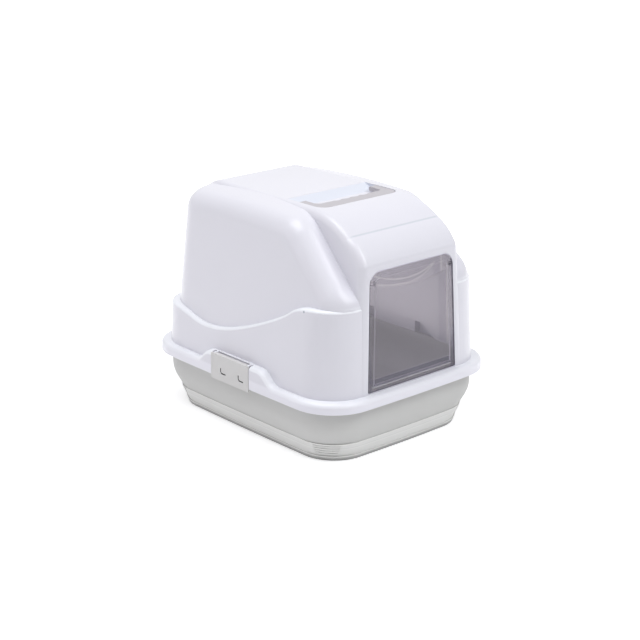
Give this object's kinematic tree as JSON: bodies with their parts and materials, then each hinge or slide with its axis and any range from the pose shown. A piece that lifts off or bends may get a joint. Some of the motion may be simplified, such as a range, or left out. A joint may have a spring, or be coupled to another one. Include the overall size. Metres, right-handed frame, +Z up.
{
  "type": "hooded cat litter box",
  "caption": "Hooded cat litter box: deep tray, lift-off hood with a clear swing door, fold-down bail handle, hinged side clips and a roof filter.",
  "frame": {"origin": "middle of the tray's underside, on the floor", "axes": "+Z up, the door faces -Y, +X to the right when facing the back of the box from the door"},
  "size_m": [0.4016, 0.4998, 0.3995],
  "materials": {
    "grey_plastic": "fine satin, injection moulded",
    "white_plastic": "semi-gloss, injection moulded",
    "smoked_pane": "clear smoke-grey plastic",
    "handle_plastic": "satin",
    "clip_plastic": "satin",
    "filter_fleece": "carbon-loaded fleece"
  },
  "bodies": {
    "tray": {"tray": "grey_plastic"},
    "hood": {"hood_shell": "white_plastic", "filter_cover": "white_plastic", "charcoal_filter": "filter_fleece"},
    "door": {"door_panel": "smoked_pane"},
    "handle": {"carry_handle": "handle_plastic"},
    "clip_left": {"clip_left": "clip_plastic"},
    "clip_right": {"clip_right": "clip_plastic"}
  },
  "joints": [
    {"name": "hood_lift", "type": "slide", "parent": "tray", "child": "hood", "axis": [0, 0, 1], "range_m": [0, 0.15]},
    {"name": "door_swing", "type": "hinge", "parent": "hood", "child": "door", "pos_m": [0, -0.22324, 0.29797], "axis": [1, 0, 0], "range_deg": [-85, 85]},
    {"name": "handle_swing", "type": "hinge", "parent": "hood", "child": "handle", "pos_m": [0, -0.05, 0.3951], "axis": [-1, 0, 0], "range_deg": [0, 95]},
    {"name": "clip_left_swing", "type": "hinge", "parent": "hood", "child": "clip_left", "pos_m": [-0.1942, 0.001, 0.1345], "axis": [0, 1, 0], "range_deg": [0, 90]},
    {"name": "clip_right_swing", "type": "hinge", "parent": "hood", "child": "clip_right", "pos_m": [0.1942, 0.001, 0.1345], "axis": [0, -1, 0], "range_deg": [0, 90]}
  ]
}
